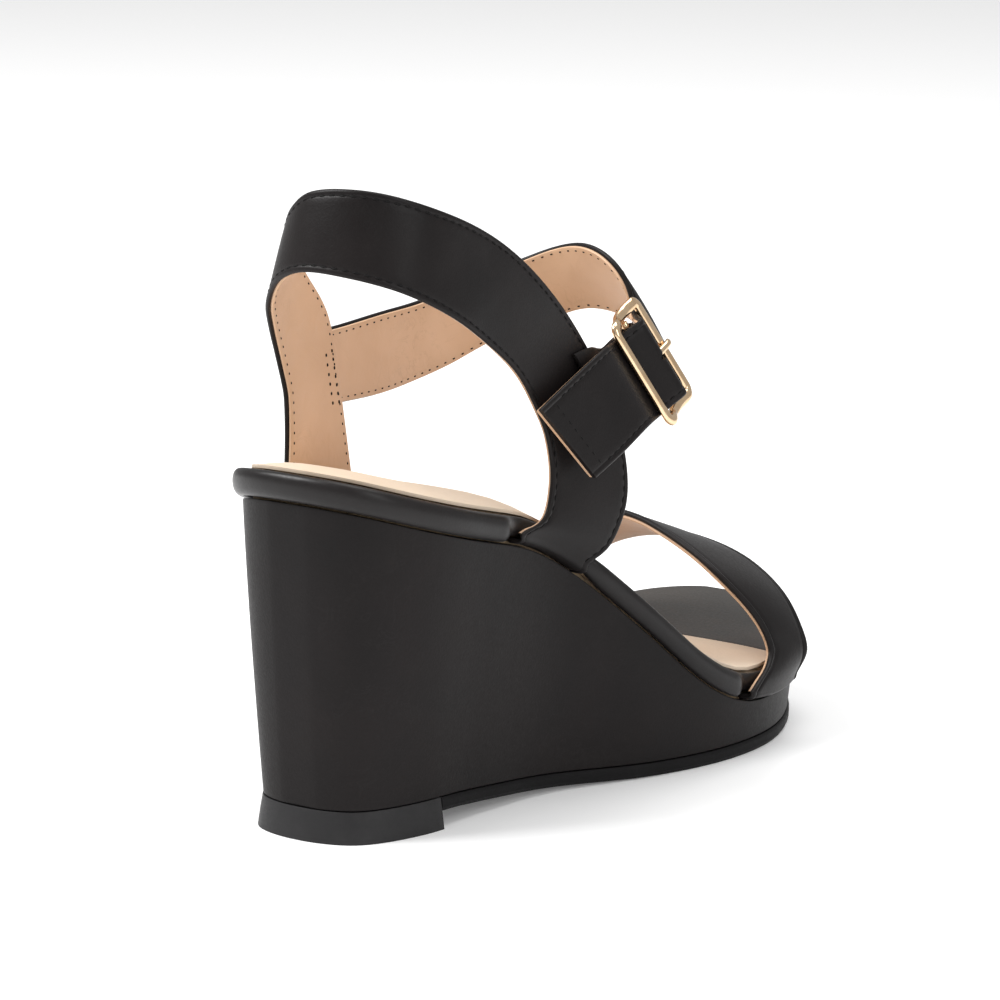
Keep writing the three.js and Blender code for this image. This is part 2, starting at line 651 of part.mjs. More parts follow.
// The leather tab, doubled round the middle bar and stitched to the outer side of the quarter.
const TAB_HALF = STRAP_HALF - 0.65;
const TAB_SEAT = [24, 22, 20]; // rows of the quarter that the tab lies across
function addTab(quarterGrid) {
  const wrap = BAR_RADIUS + FIT + OUTER_THICKNESS;
  const at = (t, n) => [-TAB_HALF, 0, TAB_HALF].map((w) => onBuckle(t, w, n));
  const turn = (degrees) => {
    const a = THREE.MathUtils.degToRad(degrees);
    return at(wrap * Math.cos(a), CENTRE_BAR_DROP + wrap * Math.sin(a));
  };
  const normals = gridNormals(quarterGrid);
  const onQuarter = (c) =>
    TAB_SEAT.map((k) => quarterGrid[k][c].clone().addScaledVector(normals[k][c], FIT));
  const rows = [
    onQuarter(4),
    onQuarter(5),
    at(-BAR_PITCH, underBar - STRAP_BUILD - 3 * FIT - 2 * OUTER_THICKNESS - 0.3),
    at(-BAR_PITCH * 0.6, underBar - STRAP_BUILD - 1.9),
    turn(-120),
    turn(-80),
    turn(-40),
    turn(0),
    turn(40),
    turn(80),
    turn(115),
    at(-BAR_PITCH * 0.6, underBar - STRAP_BUILD + 0.6),
    at(-BAR_PITCH, underBar - STRAP_BUILD - 2 * FIT),
    at(-BAR_PITCH * 1.25, underBar - STRAP_BUILD - 2 * FIT - 0.7),
  ];
  const tab = strapLayer(strapGrid(rows, 56), 0, OUTER_THICKNESS, { side: -1 });
  const gap = new THREE.BoxGeometry(2.2 * wrap + 1, PRONG_WIDTH + 4 * FIT, 3 * wrap);
  gap.translate(wrap * 0.2, 0, CENTRE_BAR_DROP).applyMatrix4(buckleFrame);
  add("buckle_tab", without(tab, [gap]), leather);
}

// ---------------------------------------------------------------- buckle metal
const WIRE_SIDES = 12;
const EYE_SIDES = 24;
// A ring of wire sections round a closed path of [t, w, n] points, each section wide by thick.
function wireLoop(path, wide, thick) {
  const rings = path.map(([t, w, n], i) => {
    const [before, after] = [path.at(i - 1), path[(i + 1) % path.length]];
    const out = v3(after[1] - before[1], before[0] - after[0], 0).normalize();
    const section = [];
    for (let k = 0; k < WIRE_SIDES; k++) {
      const a = (2 * Math.PI * (k + 0.5)) / WIRE_SIDES;
      const reach = wide * Math.cos(a);
      section.push(v3(t + out.x * reach, w + out.y * reach, n + thick * Math.sin(a)));
    }
    return section;
  });
  return ringSolid(rings, false).applyMatrix4(buckleFrame);
}

const FRAME_HALF = STRAP_HALF + 2.6; // middle of the side wires
const CORNER = 1.9;
// The frame: a rounded rectangle whose long sides dip to carry the middle bar.
function addFrame() {
  const path = [];
  const dip = (t) => CENTRE_BAR_DROP * (1 - smooth(1.5, BAR_PITCH - CORNER, Math.abs(t)));
  for (const [st, sw] of [[1, -1], [1, 1], [-1, 1], [-1, -1]]) {
    for (let i = 0; i <= 6; i++) {
      const turn = (Math.PI / 2) * (i / 6);
      const start = Math.atan2(sw, st) - Math.PI / 4;
      const t = st * (BAR_PITCH - CORNER) + CORNER * Math.cos(start + turn);
      const w = sw * (FRAME_HALF - CORNER) + CORNER * Math.sin(start + turn);
      path.push([t, w, dip(t)]);
    }
    const steps = 10;
    const lengthwise = st === sw;
    for (let i = 1; i < steps; i++) {
      const share = 1 - (2 * i) / steps;
      const t = lengthwise ? st * (BAR_PITCH - CORNER) * share : st * BAR_PITCH;
      const w = lengthwise ? sw * FRAME_HALF : sw * (FRAME_HALF - CORNER) * share;
      path.push([t, w, dip(t)]);
    }
  }
  add("buckle_frame", wireLoop(path, FRAME_WIRE, BAR_RADIUS), gold);
}

function addBar() {
  const length = 2 * (FRAME_HALF - FRAME_WIRE - FIT);
  const bar = new THREE.CylinderGeometry(BAR_RADIUS, BAR_RADIUS, length, 16);
  add("buckle_bar", bar.applyMatrix4(atBar), gold);
}
// A cylinder's own axis laid along the middle bar.
const atBar = buckleFrame.clone().multiply(new THREE.Matrix4().makeTranslation(0, 0, CENTRE_BAR_DROP));

// The prong: an eye round the middle bar and a tongue that rests on the far bar.
function addProng() {
  const eyeInner = BAR_RADIUS + RUNNING_FIT;
  const eyeOuter = eyeInner + PRONG_RADIUS;
  const eyeSection = [[eyeInner, -1], [eyeOuter, -1], [eyeOuter, 1], [eyeInner, 1], [eyeInner, -1]];
  const eye = new THREE.LatheGeometry(
    eyeSection.map(([r, y]) => new THREE.Vector2(r, (y * PRONG_WIDTH) / 2)),
    EYE_SIDES,
  );
  eye.applyMatrix4(atBar);
  const rest = BAR_RADIUS + FIT + PRONG_RADIUS;
  const path = new THREE.CatmullRomCurve3([
    v3(eyeInner * 0.2, 0, CENTRE_BAR_DROP + eyeInner + PRONG_RADIUS * 1.05),
    v3(eyeInner * 1.4, 0, CENTRE_BAR_DROP + eyeInner + PRONG_RADIUS * 0.8),
    v3(BAR_PITCH * 0.6, 0, rest * 0.62),
    v3(BAR_PITCH, 0, rest),
    v3(BAR_PITCH + 1.9, 0, rest - 0.35),
  ]);
  const rings = [];
  const steps = 16;
  for (let i = 0; i <= steps; i++) {
    const p = path.getPoint(i / steps);
    const d = path.getTangent(i / steps);
    const up = v3(-d.z, 0, d.x);
    const taper = i < steps - 2 ? 1 : Math.sqrt(1 - ((i - steps + 2) / 2.3) ** 2);
    const section = [];
    for (let k = 0; k < WIRE_SIDES; k++) {
      const a = (2 * Math.PI * (k + 0.5)) / WIRE_SIDES;
      const side = p.clone().addScaledVector(up, PRONG_RADIUS * taper * Math.sin(a));
      section.push(side.add(v3(0, (PRONG_WIDTH / 2) * taper * Math.cos(a), 0)));
    }
    rings.push(section);
  }
  const tongue = ringSolid(rings).applyMatrix4(buckleFrame);
  add("buckle_prong", joined(eye, tongue), gold);
}

addLift();
addOutsole();
addWedge();
addMargin();
addFootbed();
addRand();
const quarterGrid = strapGrid(quarterRows, 66);
addStrap("quarter", quarterGrid, 1, { skip: 9 });
addStrap("vamp", strapGrid(vampRows, 45), 1, { skip: 9 });
addStrap("ankle_strap", strapGrid(ankleRows, ANKLE_STEPS, ANKLE_COLUMNS), -1, { hole: prongHole });
addTab(quarterGrid);
addFrame();
addBar();
addProng();

// The frame's origin is on the ground under the middle of the sandal.
const bounds = new THREE.Box3().setFromObject(shoe);
const centre = bounds.getCenter(v3(0, 0, 0));
shoe.children.forEach((mesh) => mesh.geometry.translate(-centre.x, -centre.y, -bounds.min.z));

export default shoe;
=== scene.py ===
"""A black wedge sandal for the right foot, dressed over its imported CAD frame.

Metres. +X is the outer side of the foot, +Y points to the toe, +Z is up.
The sections follow the shoe as it is put together, from the sole up.
"""

import json
import math

import bmesh
import bpy
import numpy as np
from mathutils import Matrix, Vector


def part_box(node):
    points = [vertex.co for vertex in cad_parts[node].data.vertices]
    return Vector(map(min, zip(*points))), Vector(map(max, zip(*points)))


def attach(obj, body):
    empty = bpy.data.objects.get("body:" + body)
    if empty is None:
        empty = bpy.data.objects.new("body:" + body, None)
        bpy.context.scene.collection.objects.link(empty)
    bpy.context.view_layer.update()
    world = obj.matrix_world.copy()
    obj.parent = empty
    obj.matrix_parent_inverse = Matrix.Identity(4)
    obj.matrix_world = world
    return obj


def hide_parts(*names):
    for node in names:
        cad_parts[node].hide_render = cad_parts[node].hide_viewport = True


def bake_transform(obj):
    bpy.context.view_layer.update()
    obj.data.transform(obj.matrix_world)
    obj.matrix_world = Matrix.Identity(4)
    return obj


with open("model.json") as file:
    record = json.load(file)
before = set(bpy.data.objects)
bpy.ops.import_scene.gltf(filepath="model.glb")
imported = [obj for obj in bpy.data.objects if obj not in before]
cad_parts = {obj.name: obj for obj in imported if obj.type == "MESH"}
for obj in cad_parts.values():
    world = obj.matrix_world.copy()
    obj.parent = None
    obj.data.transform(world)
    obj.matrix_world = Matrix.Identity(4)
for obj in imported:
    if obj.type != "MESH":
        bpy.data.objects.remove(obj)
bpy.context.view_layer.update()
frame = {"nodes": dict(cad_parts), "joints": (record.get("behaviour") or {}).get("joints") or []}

MM = 0.001


# ------------------------------------------------------------------ heel lift
# The rubber top piece that the heel wears down on: moulded, slightly flared, with softened edges.
# Three steel nails, out of sight, hold it to the wedge.

def only(piece):
    """Nothing but this piece is selected, and it is active."""
    bpy.ops.object.select_all(action="DESELECT")
    piece.select_set(True)
    bpy.context.view_layer.objects.active = piece


def shaped_from(node, name, merge=0.002 * MM):
    """A new piece in the shape of a CAD node, its loose triangles merged into a net of four-sided faces."""
    piece = bpy.data.objects.new(name, frame["nodes"][node].data.copy())
    bpy.context.scene.collection.objects.link(piece)
    only(piece)
    bpy.ops.object.mode_set(mode="EDIT")
    bpy.ops.mesh.select_all(action="SELECT")
    bpy.ops.mesh.remove_doubles(threshold=merge)
    wide = math.radians(80)
    bpy.ops.mesh.tris_convert_to_quads(face_threshold=wide, shape_threshold=wide, topology_influence=1.3)
    bpy.ops.object.mode_set(mode="OBJECT")
    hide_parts(node)
    return piece


def worked(piece, kind, **settings):
    """One modifier put on a piece and applied."""
    only(piece)
    modifier = piece.modifiers.new(kind.lower(), kind)
    for name, value in settings.items():
        setattr(modifier, name, value)
    bpy.ops.object.modifier_apply(modifier=modifier.name)


def eased_edges(piece, width, segments=2, sharp=35):
    """The piece's sharp edges rounded over, as a knife, mould or polishing wheel leaves them."""
    worked(piece, "BEVEL", width=width, segments=segments, limit_method="ANGLE",
           angle_limit=math.radians(sharp), use_clamp_overlap=True)


def smoother(piece, levels):
    worked(piece, "SUBSURF", levels=levels, render_levels=levels)


def finished(piece, material, body="sandal", angle=60):
    """The piece gets its finish and its shading, and rides on its body."""
    piece.data.materials.clear()
    piece.data.materials.append(material)
    only(piece)
    bpy.ops.object.shade_smooth_by_angle(angle=math.radians(angle))
    if body:
        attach(piece, body)
    return piece


def put(tree, kind, *, options=None, **inputs):
    """A shader node with its settings and inputs; an input is a value or another node's output."""
    node = tree.nodes.new("ShaderNode" + kind)
    for name, value in (options or {}).items():
        setattr(node, name, value)
    for name, value in inputs.items():
        socket = node.inputs[name.replace("_", " ")]
        if isinstance(value, bpy.types.NodeSocket):
            tree.links.new(value, socket)
        else:
            socket.default_value = value
    return node


def maths(tree, operation, a, b=0.0, clamp=False):
    node = tree.nodes.new("ShaderNodeMath")
    node.operation = operation
    node.use_clamp = clamp
    for socket, value in zip(node.inputs, (a, b)):
        if isinstance(value, bpy.types.NodeSocket):
            tree.links.new(value, socket)
        else:
            socket.default_value = value
    return node.outputs[0]


def between(tree, factor, a, b):
    """A colour between a and b, by a factor from 0 to 1."""
    node = tree.nodes.new("ShaderNodeMix")
    node.data_type = "RGBA"
    for socket, value in zip((node.inputs[0], node.inputs[6], node.inputs[7]), (factor, a, b)):
        if isinstance(value, bpy.types.NodeSocket):
            tree.links.new(value, socket)
        else:
            socket.default_value = value
    return node.outputs[2]


def ranged(tree, value, low, high, to_low=0.0, to_high=1.0):
    """A value taken from low..high to to_low..to_high, and held inside it."""
    node = put(tree, "MapRange", Value=value, From_Min=low, From_Max=high, To_Min=to_low, To_Max=to_high)
    return node.outputs[0]


def effect(name, inputs, outputs):
    """An empty node group with named sockets. Inputs are (name, value), outputs are names of values."""
    group = bpy.data.node_groups.new(name, "ShaderNodeTree")
    for label, value in inputs:
        socket = group.interface.new_socket(name=label, in_out="INPUT", socket_type="NodeSocketFloat")
        socket.default_value = value
    for label in outputs:
        group.interface.new_socket(name=label, in_out="OUTPUT", socket_type="NodeSocketFloat")
    given = group.nodes.new("NodeGroupInput").outputs
    wanted = group.nodes.new("NodeGroupOutput").inputs
    return group, given, wanted


def in_group(tree, group, **inputs):
    return put(tree, "Group", options={"node_tree": group}, **inputs)


def handling_group():
    """Slow and quick changes of tone over a surface, from making and handling."""
    group, given, wanted = effect("handling", [("Patch", 40.0), ("Fleck", 900.0)], ["Patches", "Flecks"])
    here = put(group, "TexCoord").outputs["Object"]
    patch = put(group, "TexNoise", Vector=here, Scale=given["Patch"], Detail=3.0, Roughness=0.55,
                Distortion=0.4)
    fleck = put(group, "TexNoise", Vector=here, Scale=given["Fleck"], Detail=5.0, Roughness=0.7)
    group.links.new(ranged(group, patch.outputs["Fac"], 0.3, 0.7), wanted["Patches"])
    group.links.new(ranged(group, fleck.outputs["Fac"], 0.35, 0.65), wanted["Flecks"])
    return group


def edge_wear_and_highlight_group():
    """Proud outer edges, broken up by a fine noise: wear on rubber; on leather, wear and a painted edge
    highlight.
    """
    group, given, wanted = effect("wear", [("Start", 0.52), ("Full", 0.62)], ["Rubbed"])
    here = put(group, "TexCoord").outputs["Object"]
    proud = put(group, "NewGeometry").outputs["Pointiness"]
    edge = ranged(group, proud, given["Start"], given["Full"])
    broken = put(group, "TexNoise", Vector=here, Scale=320.0, Detail=4.0, Roughness=0.6).outputs["Fac"]
    patchy = ranged(group, broken, 0.3, 0.62, 0.25, 1.0)
    group.links.new(maths(group, "MULTIPLY", edge, patchy), wanted["Rubbed"])
    return group


HANDLING = handling_group()
# Proud-edge mask: wear on the rubber, and on the leather wear together with a painted edge highlight.
EDGE_WEAR_AND_HIGHLIGHT = edge_wear_and_highlight_group()


def finish(name):
    """A material, its node tree and its Principled shader."""
    material = bpy.data.materials.new(name)
    material.use_nodes = True
    return material, material.node_tree, material.node_tree.nodes["Principled BSDF"]


def to(tree, shader, **inputs):
    """Links or sets the shader's own sockets."""
    for name, value in inputs.items():
        socket = shader.inputs[name.replace("_", " ")]
        if isinstance(value, bpy.types.NodeSocket):
            tree.links.new(value, socket)
        else:
            socket.default_value = value


def moulded_rubber(name, colour, scuffed, roughness, shine):
    """Black sole rubber: a fine moulded speckle, and a greyer, duller scuff on its edges."""
    material, tree, shader = finish(name)
    tone = in_group(tree, HANDLING, Patch=60.0, Fleck=1400.0)
    proud_edges = in_group(tree, EDGE_WEAR_AND_HIGHLIGHT, Start=0.505, Full=0.60).outputs["Rubbed"]
    body = between(tree, tone.outputs["Patches"], (*colour, 1), (*[c * 1.35 for c in colour], 1))
    here = put(tree, "TexCoord").outputs["Object"]
    speckle = put(tree, "TexNoise", Vector=here, Scale=2600.0, Detail=3.0).outputs["Fac"]
    facing = put(tree, "SeparateXYZ", Vector=put(tree, "NewGeometry").outputs["Normal"]).outputs["Z"]
    under = ranged(tree, facing, -0.9, -0.97)
    ribs = put(tree, "TexWave", options={"bands_direction": "Y"}, Vector=here, Scale=110.0, Distortion=1.5,
               Detail=1.0, Detail_Scale=40.0).outputs["Fac"]
    tread = put(tree, "Bump", Strength=0.8, Distance=0.5 * MM, Height=maths(tree, "MULTIPLY", ribs, under))
    bump = put(tree, "Bump", Strength=0.35, Distance=0.03 * MM, Height=speckle,
               Normal=tread.outputs["Normal"])
    rough = ranged(tree, tone.outputs["Flecks"], 0.0, 1.0, roughness - 0.06, roughness + 0.08)
    to(tree, shader, Base_Color=between(tree, proud_edges, body, (*scuffed, 1)), Roughness=rough,
       Normal=bump.outputs["Normal"], Specular_IOR_Level=shine)
    return material


LIFT_RUBBER = moulded_rubber("lift rubber", (0.011, 0.0105, 0.011), (0.036, 0.034, 0.036), 0.48, shine=0.28)

heel_lift = shaped_from("heel_lift", "heel_lift_moulding")
eased_edges(heel_lift, 0.45 * MM, 3)
finished(heel_lift, LIFT_RUBBER, angle=35)


def drawn_steel():
    """Bright drawn steel, streaked along its length by the die."""
    material, tree, shader = finish("drawn steel")
    here = put(tree, "TexCoord").outputs["Object"]
    along = put(tree, "Mapping", Vector=here, Scale=(3000.0, 200.0, 3000.0)).outputs["Vector"]
    streak = put(tree, "TexNoise", Vector=along, Scale=1.0, Detail=3.0).outputs["Fac"]
    to(tree, shader, Metallic=1.0, Roughness=ranged(tree, streak, 0.3, 0.7, 0.25, 0.45),
       Base_Color=between(tree, streak, (0.42, 0.43, 0.45, 1), (0.62, 0.62, 0.63, 1)),
       Normal=put(tree, "Bump", Strength=0.3, Distance=0.02 * MM, Height=streak).outputs["Normal"])
    return material


STEEL = drawn_steel()
for number in (1, 2, 3):
    lift_nail = shaped_from(f"lift_nail_{number}", f"lift_nail_{number}_drawn")
    eased_edges(lift_nail, 0.25 * MM)
    finished(lift_nail, STEEL, angle=40)


# ------------------------------------------------------------------ outsole
# A thin rubber sole from the heel lift to the toe, its edge trimmed proud of the wedge as a narrow welt.

OUTSOLE_RUBBER = moulded_rubber("outsole rubber", (0.006, 0.0057, 0.006), (0.016, 0.015, 0.016), 0.58,
                                shine=0.12)

outsole = shaped_from("outsole", "outsole_sheet")
eased_edges(outsole, 0.5 * MM, 3, 30)
finished(outsole, OUTSOLE_RUBBER, angle=35)


# ------------------------------------------------------------------ wedge
# A moulded plastic core, covered with one sheet of satin black leather that is pulled tight over it
# and closed under the rand and the sole.

def moulded_plastic():
    material, tree, shader = finish("wedge plastic")
    tone = in_group(tree, HANDLING, Patch=50.0, Fleck=700.0)
    to(tree, shader, Base_Color=between(tree, tone.outputs["Patches"], (0.06, 0.056, 0.052, 1),
                                        (0.09, 0.084, 0.076, 1)),
       Roughness=ranged(tree, tone.outputs["Flecks"], 0.0, 1.0, 0.5, 0.68),
       Normal=put(tree, "Bump", Strength=0.2, Distance=0.05 * MM,
                  Height=tone.outputs["Flecks"]).outputs["Normal"])
    return material


wedge_core = shaped_from("wedge_core", "wedge_core_moulding")
finished(wedge_core, moulded_plastic(), angle=40)


def grain_group():
    """The face of finished leather: small pebbles, finer pores, and patches of hair-thin creases."""
    group, given, wanted = effect(
        "leather grain",
        [("Pebble", 1500.0), ("Pebbling", 1.0), ("Crease", 90.0), ("Creasing", 1.0)],
        ["Height", "Creases"])
    here = put(group, "TexCoord").outputs["Object"]
    pebble = put(group, "TexVoronoi", options={"feature": "SMOOTH_F1"}, Vector=here, Scale=given["Pebble"],
                 Smoothness=0.6, Randomness=1.0).outputs["Distance"]
    pores = put(group, "TexNoise", Vector=here, Scale=maths(group, "MULTIPLY", given["Pebble"], 2.2),
                Detail=4.0, Roughness=0.65).outputs["Fac"]
    fold = put(group, "TexNoise", Vector=here, Scale=given["Crease"], Detail=5.0, Roughness=0.6,
               Distortion=1.6).outputs["Fac"]
    ridge = maths(group, "ABSOLUTE", maths(group, "SUBTRACT", fold, 0.5))
    line = ranged(group, ridge, 0.0, 0.018, 1.0, 0.0)
    where = put(group, "TexNoise", Vector=here, Scale=maths(group, "MULTIPLY", given["Crease"], 0.35),
                Detail=2.0).outputs["Fac"]
    patchy = ranged(group, where, 0.5, 0.66)
    creases = maths(group, "MULTIPLY", maths(group, "MULTIPLY", line, patchy), given["Creasing"])
    face = maths(group, "MULTIPLY", maths(group, "ADD", pebble, maths(group, "MULTIPLY", pores, 0.6)),
                 given["Pebbling"])
    group.links.new(maths(group, "SUBTRACT", face, creases), wanted["Height"])
    group.links.new(creases, wanted["Creases"])
    return group


GRAIN = grain_group()


def black_leather(name, *, colour=(0.0086, 0.0073, 0.0074), roughness=0.42, pebble=1500.0, crease=90.0,
                  creasing=0.4, depth=0.05, swell=0.35, shine=0.15, worn_and_highlight_colour=(0.030, 0.028, 0.027)):
    """Aniline-black shoe leather, satin, duller in creases, paler on proud edges: wear and a painted
    highlight.
    """
    material, tree, shader = finish(name)
    grain = in_group(tree, GRAIN, Pebble=pebble, Pebbling=1.0, Crease=crease, Creasing=creasing)
    tone = in_group(tree, HANDLING, Patch=26.0, Fleck=1200.0)
    # Proud edges go paler: part wear, part a painted edge highlight.
    proud_edges = in_group(tree, EDGE_WEAR_AND_HIGHLIGHT, Start=0.53, Full=0.68).outputs["Rubbed"]
    dark = (*[c * 0.82 for c in colour], 1)
    warm = (colour[0] * 1.32, colour[1] * 1.25, colour[2] * 1.22, 1)
    body = between(tree, tone.outputs["Patches"], dark, warm)
    body = between(tree, maths(tree, "MULTIPLY", grain.outputs["Creases"], 0.35, True), body, (*worn_and_highlight_colour, 1))
    rough = ranged(tree, tone.outputs["Flecks"], 0.0, 1.0, roughness - 0.05, roughness + 0.06)
    rough = maths(tree, "ADD", rough, maths(tree, "MULTIPLY", tone.outputs["Patches"], 0.06))
    here = put(tree, "TexCoord").outputs["Object"]
    slow = put(tree, "TexNoise", Vector=here, Scale=70.0, Detail=2.0, Roughness=0.4).outputs["Fac"]
    swelling = put(tree, "Bump", Strength=swell, Distance=0.6 * MM, Height=slow)
    fine = put(tree, "Bump", Strength=0.55, Distance=depth * MM, Height=grain.outputs["Height"],
               Normal=swelling.outputs["Normal"])
    to(tree, shader, Base_Color=between(tree, proud_edges, body, (*worn_and_highlight_colour, 1)), Roughness=rough,
       Normal=fine.outputs["Normal"], Specular_IOR_Level=shine)
    return material


wedge_cover = shaped_from("wedge_cover", "wedge_cover_leather")
eased_edges(wedge_cover, 0.3 * MM, 2, 45)
smoother(wedge_cover, 2)
WEDGE_LEATHER = black_leather("wedge leather", roughness=0.45, crease=70.0, creasing=0.35, shine=0.13)
finished(wedge_cover, WEDGE_LEATHER)


# ------------------------------------------------------------------ inside of the footbed
# Filler board with the steel shank let into it, the insole board that the straps are lasted over,
# and a sheet of foam. All of it is closed in by the wedge, the rand and the sock.

def pressed_board(name, colour, roughness=0.85):
    """Board pressed from fibre: short strands at all angles, and a hairy surface."""
    material, tree, shader = finish(name)
    here = put(tree, "TexCoord").outputs["Object"]
    strand = put(tree, "TexNoise", Vector=here, Scale=500.0, Detail=8.0, Roughness=0.75, Distortion=3.0)
    fibre = strand.outputs["Fac"]
    shaded = (*[c * 0.7 for c in colour], 1)
    to(tree, shader, Roughness=roughness,
       Base_Color=between(tree, ranged(tree, fibre, 0.35, 0.65), shaded, (*colour, 1)),
       Normal=put(tree, "Bump", Strength=0.5, Distance=0.15 * MM, Height=fibre).outputs["Normal"])
    return material


FILLER_BOARD = pressed_board("filler board", (0.36, 0.26, 0.16))
INSOLE_BOARD = pressed_board("insole board", (0.34, 0.23, 0.14))
for node, name, material, slot in (
    ("bottom_filler", "bottom_filler_board", FILLER_BOARD, "filler_board"),
    ("insole_board", "insole_fibre_board", INSOLE_BOARD, "insole_board"),
    ("shank", "shank_spring", STEEL, "steel"),
):
    layer = shaped_from(node, name)
    eased_edges(layer, 0.2 * MM, 2, 50)
    finished(layer, material, angle=40)


# The foam's own cream tone, darkened so that its edge in the gap between the sock and the rand shows as a
# painted shadow line.
def open_foam_with_painted_shade():
    material, tree, shader = finish("footbed foam")
    here = put(tree, "TexCoord").outputs["Object"]
    cell = put(tree, "TexVoronoi", Vector=here, Scale=1600.0).outputs["Distance"]
    to(tree, shader, Roughness=0.9,
       Base_Color=between(tree, cell, (0.46, 0.37, 0.27, 1), (0.62, 0.51, 0.38, 1)),
       Normal=put(tree, "Bump", Strength=0.7, Distance=0.2 * MM, Height=cell).outputs["Normal"])
    return material


CROWN = 2.9 * MM
CROWN_LEFT = 0.7 * MM
CROWN_EDGE = 8 * MM
CROWN_FROM = -20 * MM
CROWN_TO = 50 * MM
SLICE = 4 * MM
SKIVE_EDGE = 1.5 * MM


def rim_of(piece):
    """The level outline of a flat piece, as the two ends of each of its short straight runs."""
    net = bmesh.new()
    net.from_mesh(piece.data)
    runs = [e for e in net.edges if e.calc_face_angle(0) > math.radians(50)]
    ends = np.array([[v.co.xy for v in e.verts] for e in runs])
    net.free()
    return ends


def in_from_rim(place, rim):
    """The level distance from a place to the nearest run of an outline."""
    start, run = rim[:, 0], rim[:, 1] - rim[:, 0]
    share = ((place - start) * run).sum(1) / np.maximum((run * run).sum(1), 1e-12)
    nearest = start + run * np.clip(share, 0, 1)[:, None]
    return np.linalg.norm(nearest - place, axis=1).min()


def crowned(piece, rim, share=1.0, foot_fixed=False, skived=0.0):
    """A sheet of the footbed puffed up in its middle, most under the heel and arch, and low at its edge."""
    net = bmesh.new()
    net.from_mesh(piece.data)
    width = max(abs(v.co.x) for v in net.verts)
    for step in range(int(width / SLICE) + 1):
        for x in {step * SLICE, -step * SLICE}:
            parts = [*net.verts, *net.edges, *net.faces]
            bmesh.ops.bisect_plane(net, geom=parts, plane_co=(x, 0, 0), plane_no=(1, 0, 0))
    net.normal_update()
    for vertex in net.verts:
        if foot_fixed and vertex.normal.z < 0:
            continue
        along = min(max((vertex.co.y - CROWN_FROM) / (CROWN_TO - CROWN_FROM), 0.0), 1.0)
        full = CROWN * (1 - along * along * (3 - 2 * along)) + CROWN_LEFT
        inside = in_from_rim(np.array(vertex.co.xy), rim)
        vertex.co.z += share * full * (1 - math.exp(-((inside / CROWN_EDGE) ** 1.4)))
        vertex.co.z -= skived * math.exp(-((inside / SKIVE_EDGE) ** 2))
    net.to_mesh(piece.data)
    net.free()


footbed_foam = shaped_from("footbed_foam", "footbed_foam_sheet")
FOOTBED_RIM = rim_of(footbed_foam)
crowned(footbed_foam, FOOTBED_RIM, 0.8, foot_fixed=True, skived=2.2 * MM)
eased_edges(footbed_foam, 0.8 * MM, 3, 50)
finished(footbed_foam, open_foam_with_painted_shade())


# ------------------------------------------------------------------ socks
# The leather that the foot stands on: cream from the heel to the ball, black under the toes.
# Each is drawn over the foam and turned down at its edge, and they meet in a straight line across the foot.

def lining_hide(name, pale, deep, *, roughness=0.5, crease=60.0, creasing=0.7, mottled=30.0, edge_dark=0.0,
                swell=0.3):
    """Undyed or tan lining leather: mottled, with open pores and soft creases."""
    material, tree, shader = finish(name)
    grain = in_group(tree, GRAIN, Pebble=2200.0, Pebbling=0.8, Crease=crease, Creasing=creasing)
    tone = in_group(tree, HANDLING, Patch=mottled, Fleck=1500.0)
    body = between(tree, tone.outputs["Patches"], (*pale, 1), (*deep, 1))
    darker = (*[c * 0.72 for c in deep], 1)
    body = between(tree, maths(tree, "MULTIPLY", grain.outputs["Creases"], 0.45, True), body, darker)
    if edge_dark:
        rim = put(tree, "Attribute", options={"attribute_name": "rim"}).outputs["Fac"]
        body = between(tree, maths(tree, "MULTIPLY", rim, edge_dark), body, darker)
    here = put(tree, "TexCoord").outputs["Object"]
    slow = put(tree, "TexNoise", Vector=here, Scale=110.0, Detail=3.0, Roughness=0.5, Distortion=0.8)
    swelling = put(tree, "Bump", Strength=swell, Distance=0.6 * MM, Height=slow.outputs["Fac"])
    fine = put(tree, "Bump", Strength=0.5, Distance=0.05 * MM, Height=grain.outputs["Height"],
               Normal=swelling.outputs["Normal"])
    to(tree, shader, Base_Color=body, Normal=fine.outputs["Normal"], Specular_IOR_Level=0.4,
       Roughness=ranged(tree, tone.outputs["Flecks"], 0.0, 1.0, roughness - 0.05, roughness + 0.07))
    return material


heel_sock = shaped_from("heel_sock", "heel_sock_leather")
forepart_sock = shaped_from("forepart_sock", "forepart_sock_leather")
CREAM_LEATHER = lining_hide("cream sock leather", (0.68, 0.555, 0.43), (0.635, 0.51, 0.385), roughness=0.5,
                            creasing=0.4)
DARK_LEATHER = black_leather("dark sock leather", colour=(0.030, 0.027, 0.024), roughness=0.46, crease=55.0,
                             depth=0.04, shine=0.4)
for sock, material, slot in (
    (heel_sock, CREAM_LEATHER, "sock_leather"),
    (forepart_sock, DARK_LEATHER, "dark_sock_leather"),
):
    crowned(sock, FOOTBED_RIM)
    eased_edges(sock, 0.45 * MM, 3, 50)
    finished(sock, material)


# ------------------------------------------------------------------ rand
# A padded roll of thin black leather round the whole footbed. The straps press it flat where they go over it.

rand = shaped_from("rand", "rand_roll")
smoother(rand, 2)
RAND_LEATHER = black_leather("rand leather", roughness=0.32, crease=120.0, creasing=0.4, depth=0.03,
                             swell=0.5, shine=0.26)
finished(rand, RAND_LEATHER)


# ------------------------------------------------------------------ straps
# Each strap: black leather outside, tan leather inside, the outside folded in round both edges. The heel band
# and the instep strap are run down with rows of stitches. The CAD strap's rows give its line; its section is
# drawn anew.

def carried_on(vertex, edge):
    """The edge that carries a line of the net straight on through a vertex where four edges meet."""
    beside = {face for face in edge.link_faces}
    return next(other for other in vertex.link_edges if not beside & set(other.link_faces))


